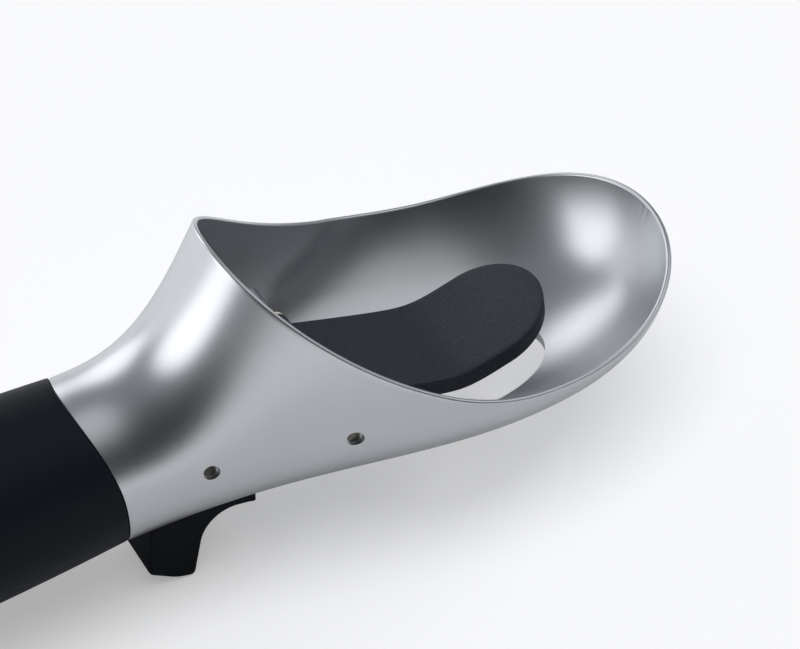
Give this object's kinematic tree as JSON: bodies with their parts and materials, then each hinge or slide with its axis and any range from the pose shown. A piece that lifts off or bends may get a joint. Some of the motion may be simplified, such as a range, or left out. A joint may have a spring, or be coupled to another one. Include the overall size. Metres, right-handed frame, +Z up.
{
  "type": "lever ice cream scoop",
  "caption": "Cast metal ice cream scoop with a hooded oval bowl, a black round handle, and a finger trigger that lifts an ejector paddle out of a window in the bowl.",
  "frame": {"origin": "centre of the round neck, level with its joint with the handle", "axes": "+X from the handle to the bowl's lip, +Z up, out of the bowl's open side, and the plane Y = 0 divides the scoop in two like halves"},
  "size_m": [0.2254, 0.0612, 0.0643],
  "materials": {
    "cast_aluminium": "bead-blasted satin",
    "black_handle": "satin moulded",
    "black_nylon": "fine grained moulding",
    "natural_nylon": "moulded",
    "black_rubber": "moulded",
    "steel": "ground"
  },
  "bodies": {
    "head": {"scoop_head": "cast_aluminium", "neck_seal": "black_rubber", "handle_grip": "black_handle", "handle_core": "natural_nylon", "tie_rod": "steel", "rod_washer": "steel", "lock_washer": "steel", "rod_nut": "steel", "end_cap": "black_handle", "end_cap_seal": "black_rubber", "stop_bumper": "black_rubber", "trigger_pin": "steel", "friction_washers": "steel", "ejector_pin": "steel", "ejector_washers": "steel", "ejector_clips": "steel"},
    "trigger": {"trigger_lever": "black_nylon", "trigger_bushes": "natural_nylon", "drive_pin": "steel", "drive_roller": "natural_nylon", "drive_clips": "steel"},
    "ejector": {"ejector_paddle": "black_nylon", "ejector_bushes": "natural_nylon"}
  },
  "joints": [
    {"name": "trigger_pull", "type": "hinge", "parent": "head", "child": "trigger", "pos_m": [0.017, 0, 0.0014], "axis": [0, 1, 0], "range_deg": [-10, 12]},
    {"name": "ejector_lift", "type": "hinge", "parent": "head", "child": "ejector", "pos_m": [0.0415, 0, 0.002], "axis": [0, 1, 0], "range_deg": [-18, 15]}
  ],
  "couplings": [
    {"joint": "ejector_lift", "follows": "trigger_pull", "ratio": -1.5}
  ]
}
